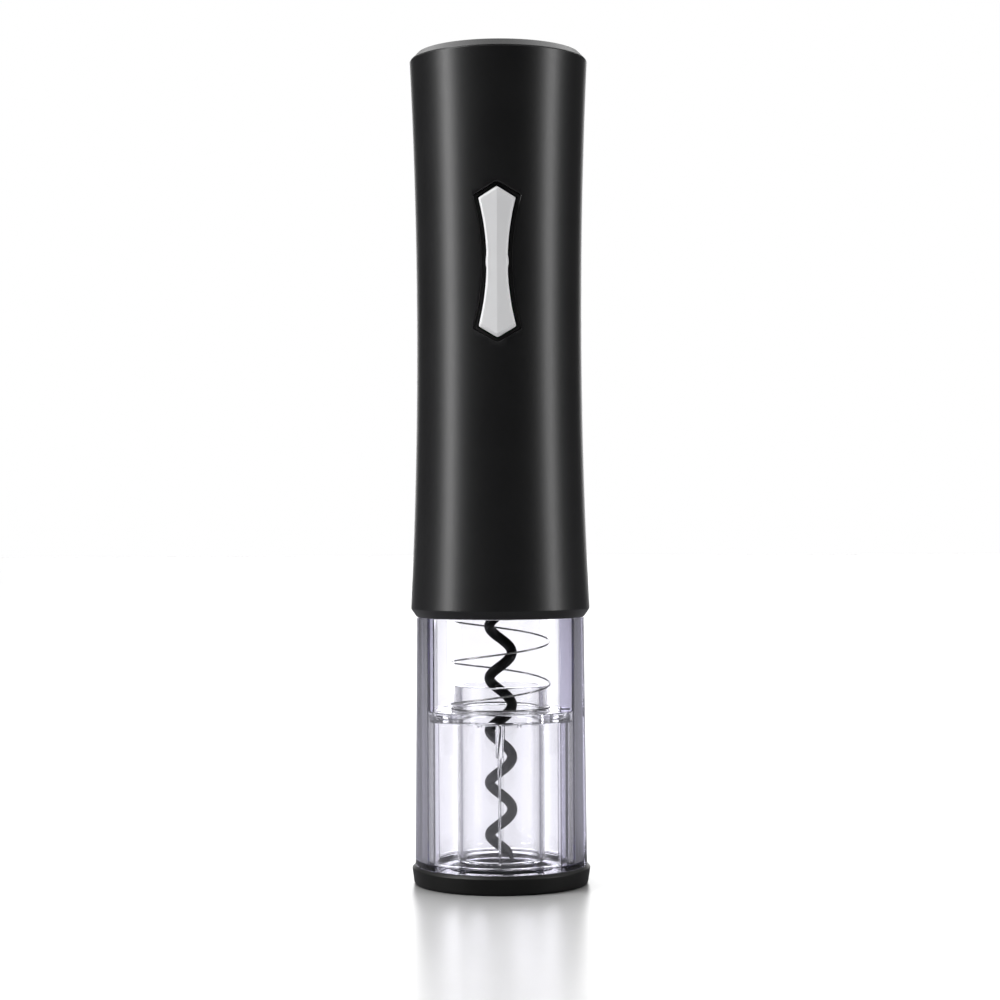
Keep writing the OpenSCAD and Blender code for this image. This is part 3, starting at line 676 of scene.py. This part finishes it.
def make_tube():
    """The clear tube with its spigots, the lip that the bottle stands against and its two guide ribs."""
    spigot_r = SOCKET_R - 0.05
    foot_spigot_r = 25.25
    low, high, top = FOOT_H + 0.05, CASING_Z - 0.05, SOCKET_TOP_Z - 0.1
    outline = [
        (MOUTH_R, LIP_BOTTOM_Z, 0.5), (foot_spigot_r, LIP_BOTTOM_Z, 0.15), (foot_spigot_r, low, 0),
        (TUBE_FOOT_R, low, 0.25), (TUBE_TOP_R, high, 0.2), (spigot_r, high, 0), (spigot_r, top, 0.2),
        (TUBE_BORE_R, top, 0.2), (TUBE_BORE_R, GUIDE_STOP_Z, 0.3), (GUIDE_STOP_R, GUIDE_STOP_Z, 0.3),
        (GUIDE_STOP_R, LIP_TOP_Z, 0.3), (MOUTH_R, LIP_TOP_Z, 0.5),
    ]
    tube = lathe("clear_tube_wall", soften(outline, 0))
    rib_root_r = 23.4
    top_z = CASING_Z - 0.4
    levels = [(LIP_TOP_Z - 0.5, 0), (top_z - 0.4, 0), (top_z - 0.1, 0.1), (top_z, 0.35)]
    for side, rib_r in ((-1, LEFT_RIB_R), (1, RIGHT_RIB_R)):
        plan = soften([
            (rib_r, -RIB_HALF_W, 0.6), (rib_root_r, -RIB_HALF_W, 0), (rib_root_r, RIB_HALF_W, 0),
            (rib_r, RIB_HALF_W, 0.6),
        ], 0)
        loops = [[(side * (x + inset), side * y, z) for x, y in plan] for z, inset in levels]
        tube = combine(tube, loft("rib", loops), "UNION")
    return tube


def make_foot():
    """The black ring that the opener stands on."""
    inner_r = 22.6
    groove_r = 25.3
    outline = [
        (inner_r, 0, 0.3), (FOOT_R - 1, 0, 0.5), (FOOT_R - 0.6, 0.6, 0.5), (FOOT_R, FOOT_H - 0.9, 0.4),
        (FOOT_R - 0.85, FOOT_H, 0.5), (groove_r, FOOT_H, 0.1), (groove_r, LIP_BOTTOM_Z - 0.05, 0.1),
        (inner_r, LIP_BOTTOM_Z - 0.05, 0.2),
    ]
    return lathe("foot", soften(outline, 0))


# ---- cork guide ----


def make_fin(side):
    """A fin on the sleeve's front or back with a round nose, thin below and wider under the flange."""
    root, nose = SLEEVE_R - 0.3, 20
    thin, middle, wide = 0.35, 0.6, 1.1
    steps = (
        (GUIDE_Z + 1, thin), (33.5, thin), (35, middle), (39.6, middle), (40.4, wide), (FLANGE_Z - 1, wide),
    )
    loops = []
    for z, half in steps:
        plan = [(-half, root), (half, root), (half, nose - 1.15 * half)]
        plan += [(half * cos(a), nose - half + half * sin(a)) for a in (radians(15 * k) for k in range(13))]
        plan.append((-half, nose - 1.15 * half))
        loops.append([(side * x, side * y, z) for x, y in plan])
    return loft("fin", loops)


def make_guide():
    """The clear cork guide: collar, flange, cork sleeve, outer skirt, and the webs and pegs between them."""
    flange_low = FLANGE_Z - FLANGE_T
    skirt_in = FLANGE_R - SKIRT_WALL
    foot_z = GUIDE_Z + 0.2
    outline = [
        (CORK_BORE_R, GUIDE_Z + MOUTH_BEVEL, 0.4), (CORK_BORE_R + MOUTH_BEVEL, GUIDE_Z, 0.2),
        (SLEEVE_R, GUIDE_Z, 0.25), (SLEEVE_R, flange_low, 0.5),
        (skirt_in, flange_low, 0.6), (skirt_in, foot_z, 0.2), (FLANGE_R, foot_z, 0.25),
        (FLANGE_R, FLANGE_Z, 0.35),
        (COLLAR_R, FLANGE_Z, 0.5), (COLLAR_R, COLLAR_TOP_Z, 0.35), (CORK_BORE_R, COLLAR_TOP_Z, 0.35),
    ]
    guide = lathe("cork_guide_body", soften(outline, 0))
    rib_gap = 0.3
    peg_r, peg_x, peg_y = 0.75, 5.6, 16.8
    pocket_r, pocket_out, pocket_low = 1.2, 19.6, FLANGE_Z - 1.4
    added, cuts = [], []
    for side, slot_r in ((-1, LEFT_RIB_R - rib_gap), (1, RIGHT_RIB_R - rib_gap)):
        added.append(make_fin(side))
        for x in (-peg_x, peg_x):
            added.append(rod_piece("peg", peg_r, flange_low - 1.3, FLANGE_Z - 1, x, side * peg_y))
        low_x, high_x = sorted((side * slot_r, side * 24))
        slot_half_w = RIB_HALF_W + rib_gap
        cuts.append(box_piece("slot", (low_x, -slot_half_w, 0), (high_x, slot_half_w, FLANGE_Z + 1)))
        for a in (radians(-26), radians(26)):
            x, y = side * pocket_out * cos(a), side * pocket_out * sin(a)
            cuts.append(rod_piece("pocket", pocket_r, pocket_low, FLANGE_Z + 1, x, y))
    guide = combine(guide, together(*added), "UNION")
    return combine(guide, together(*cuts), "DIFFERENCE")


# ---- worm and spring ----


def worm_reach(z):
    """How far the worm's wire is from the axis: a helix, then a bend onto the axis."""
    if z < WORM_BEND_Z:
        return WORM_HELIX_R
    if z > WORM_SHANK_Z:
        return 0
    return WORM_HELIX_R * (1 + cos(pi * (z - WORM_BEND_Z) / (WORM_SHANK_Z - WORM_BEND_Z))) / 2


def make_worm():
    """The worm, pointed at its tip."""
    turns = (WORM_TOP_Z - WORM_TIP_Z) / WORM_PITCH
    tip_share, tip_turns = 0.12, 0.2
    centres, outs, radii = [], [], []
    steps = 480
    for i in range(steps + 1):
        t = turns * i / steps
        a = 2 * pi * t
        z = WORM_TIP_Z + WORM_PITCH * t
        centres.append((worm_reach(z) * cos(a), worm_reach(z) * sin(a), z))
        outs.append((cos(a), sin(a), 0))
        radii.append(WORM_WIRE_R * min(1, tip_share + t / tip_turns))
    return sweep("worm_wire", centres, outs, radii, 32)


def spring_rise(t, turns):
    """Height of the spring's wire above its lower end after t turns; one turn at each end is closed."""
    closed_rise = 2 * SPRING_WIRE_R + 0.02
    open_rise = SPRING_SEAT_Z - FLANGE_Z - 2 * SPRING_WIRE_R - 0.1 - 2 * closed_rise
    if t < 1:
        return closed_rise * t
    if t > turns - 1:
        return closed_rise + open_rise + closed_rise * (t - turns + 1)
    return closed_rise + open_rise * (t - 1) / (turns - 2)


def make_spring():
    """The guide's spring, a right-handed coil with closed ends."""
    turns = 2 + (SPRING_SEAT_Z - FLANGE_Z - 1.8 - 2 * SPRING_WIRE_R) / SPRING_PITCH
    first = FLANGE_Z + 0.05 + SPRING_WIRE_R
    coil_r = SPRING_R - SPRING_WIRE_R
    centres, outs = [], []
    steps = 560
    for i in range(steps + 1):
        t = turns * i / steps
        a = SPRING_FIRST_ANGLE + 2 * pi * t
        centres.append((coil_r * cos(a), coil_r * sin(a), first + spring_rise(t, turns)))
        outs.append((cos(a), sin(a), 0))
    return sweep("spring_coil", centres, outs, [SPRING_WIRE_R] * (steps + 1), 14)


def make_object():
    """Every piece of the opener that can be seen from outside."""
    dress_frame()
    place(make_casing(), "housing", "casing_black", "body_shell")
    place(make_cap(), "cap", "casing_black", "battery_cap")
    place(make_rocker(), "rocker", "button_silver", "rocker_button")
    place(make_tube(), "housing", "clear_plastic", "clear_tube")
    place(make_foot(), "housing", "foot_black", "foot_ring")
    place(make_guide(), "guide", "guide_clear", "cork_guide")
    place(make_worm(), "output", "worm_coating", "worm")
    spring = place(make_spring(), "housing", "spring_steel", "guide_spring")
    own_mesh(spring)


# ---- studio ----


def make_floor():
    """A glossy white floor with a painted contact shadow, painted shade in the object's own reflections and
    painted light where the guide shows it.

    A ray counts two for each clear wall it goes through, so past 4.5 it has been through the guide too.
    """
    material, tree, shader = new_material("white floor")
    sheen = object_noise(tree, 12)
    # Painted contact shadow: an ambient occlusion node darkens the floor's colour within 4 cm of the object.
    painted_contact_shadow = tree.nodes.new("ShaderNodeAmbientOcclusion")
    painted_contact_shadow.inputs["Distance"].default_value = 0.04
    white = colour_between(tree, sheen, (0.56, 0.56, 0.56), (0.58, 0.58, 0.58))
    tree.links.new(white, painted_contact_shadow.inputs["Color"])
    tree.links.new(painted_contact_shadow.outputs["Color"], shader.inputs["Base Color"])
    tree.links.new(spread(tree, sheen, 0.3, 0.32), shader.inputs["Roughness"])
    shader.inputs["IOR"].default_value = 2
    path = tree.nodes.new("ShaderNodeLightPath")
    crossed = path.outputs["Transmission Depth"]
    one_wall = calculated(tree, "LESS_THAN", crossed, 2.5)
    in_guide = calculated(tree, "GREATER_THAN", crossed, 4.5)
    mirrored_once = calculated(tree, "COMPARE", path.outputs["Glossy Depth"], 1)
    not_mirrored = calculated(tree, "LESS_THAN", path.outputs["Glossy Depth"], 0.5)
    share = calculated(tree, "ADD", one_wall, calculated(tree, "MULTIPLY", in_guide, 0.15))
    # Painted shade: in the object's reflections the floor gives way to a dark matt card, as black cards round
    # the set would darken it.
    painted_shade_share = calculated(tree, "MULTIPLY", share, mirrored_once)
    floor_with_painted_shade = mixed(tree, painted_shade_share, shader.outputs["BSDF"], matt_card(tree, (0.19, 0.19, 0.2)))
    # Painted light: seen through the guide and not in a reflection, the floor is a near-white matt card,
    # brighter than the lit floor.
    painted_light_share = calculated(tree, "MULTIPLY", in_guide, not_mirrored)
    seen = mixed(tree, painted_light_share, floor_with_painted_shade, matt_card(tree, (0.95, 0.95, 0.95)))
    tree.links.new(seen, tree.nodes["Material Output"].inputs["Surface"])
    bm = bmesh.new()
    corners = [(-4000, -450, 0), (4000, -450, 0), (4000, 6000, 0), (-4000, 6000, 0)]
    bm.faces.new([bm.verts.new(corner) for corner in corners])
    floor = finish_mesh("floor", bm)
    floor.data.materials.append(material)


def make_world():
    """Soft light, bright behind the object and above it and dim behind the camera, which sees plain white."""
    world = bpy.data.worlds.new("studio")
    bpy.context.scene.world = world
    world.use_nodes = True
    tree = world.node_tree
    tree.nodes.clear()
    coords = tree.nodes.new("ShaderNodeTexCoord")
    parts = tree.nodes.new("ShaderNodeSeparateXYZ")
    tree.links.new(coords.outputs["Generated"], parts.inputs["Vector"])
    depth = tree.nodes.new("ShaderNodeMapRange")
    depth.inputs["From Min"].default_value = -1
    depth.inputs["From Max"].default_value = 1
    tree.links.new(parts.outputs["Y"], depth.inputs["Value"])
    round_about = tree.nodes.new("ShaderNodeValToRGB")
    stops = ((0.0, 0.02), (0.5, 0.03), (0.85, 0.05), (0.95, 0.15), (0.9815, 3))
    ramp = round_about.color_ramp
    while len(ramp.elements) < len(stops):
        ramp.elements.new(0.5)
    for element, (at, value) in zip(ramp.elements, stops):
        element.position = at
        element.color = (value, value, value, 1)
    tree.links.new(depth.outputs["Result"], round_about.inputs["Fac"])
    above = tree.nodes.new("ShaderNodeMapRange")
    above.inputs["From Min"].default_value = 0.35
    above.inputs["From Max"].default_value = 0.9
    above.inputs["To Max"].default_value = 0.5
    tree.links.new(parts.outputs["Z"], above.inputs["Value"])
    total = tree.nodes.new("ShaderNodeMix")
    total.data_type = "RGBA"
    total.blend_type = "ADD"
    total.inputs["Factor"].default_value = 1
    tree.links.new(round_about.outputs["Color"], total.inputs["A"])
    tree.links.new(above.outputs["Result"], total.inputs["B"])
    room = tree.nodes.new("ShaderNodeBackground")
    tree.links.new(total.outputs["Result"], room.inputs["Color"])
    white = tree.nodes.new("ShaderNodeBackground")
    white.inputs["Color"].default_value = (1, 1, 1, 1)
    path = tree.nodes.new("ShaderNodeLightPath")
    seen = mixed(tree, path.outputs["Is Camera Ray"], room.outputs["Background"], white.outputs["Background"])
    output = tree.nodes.new("ShaderNodeOutputWorld")
    tree.links.new(seen, output.inputs["Surface"])


def add_softbox(name, at, aim, width, height, power):
    """A soft area light."""
    data = bpy.data.lights.new(name, "AREA")
    data.shape = "RECTANGLE"
    data.size = width
    data.size_y = height
    data.energy = power
    light = bpy.data.objects.new(name, data)
    light.location = at
    light.rotation_euler = (Vector(aim) - Vector(at)).to_track_quat("-Z", "Y").to_euler()
    bpy.context.scene.collection.objects.link(light)


def make_camera():
    """A level camera a little right of the front, at the photograph's distance."""
    data = bpy.data.cameras.new("camera")
    data.sensor_width = 36
    data.sensor_height = 36
    data.lens = 82
    data.shift_y = 0.018
    data.clip_start = 0.05
    data.clip_end = 50
    camera = bpy.data.objects.new("camera", data)
    distance, height = 0.697, 0.1114
    azimuth, roll = radians(1.25), radians(-0.23)
    camera.location = (distance * sin(azimuth), -distance * cos(azimuth), height)
    facing = Matrix.Rotation(azimuth, 3, "Z") @ Matrix.Rotation(pi / 2, 3, "X")
    camera.rotation_euler = (facing @ Matrix.Rotation(roll, 3, "Z")).to_euler()
    bpy.context.scene.collection.objects.link(camera)
    bpy.context.scene.camera = camera


def make_studio():
    """Floor, light and camera."""
    make_floor()
    make_world()
    add_softbox("left strip", (-1.12, -0.42, 0.25), (0, 0, 0.12), 0.25, 1.5, 13.5)
    add_softbox("right strip", (1.15, -0.33, 0.25), (0, 0, 0.12), 0.25, 1.5, 11)
    add_softbox("overhead", (0, 0.9, 1.4), (0, 0.25, 0), 2.2, 1.4, 19)
    add_softbox("high left", (-0.95, -0.42, 1.3), (0, 0, 0.18), 0.6, 0.6, 16)
    make_camera()
    scene = bpy.context.scene
    scene.view_settings.view_transform = "Standard"
    scene.cycles.max_bounces = 32
    scene.cycles.transmission_bounces = 28
    scene.cycles.glossy_bounces = 12
    scene.cycles.transparent_max_bounces = 16
    scene.cycles.diffuse_bounces = 5


make_object()
make_studio()
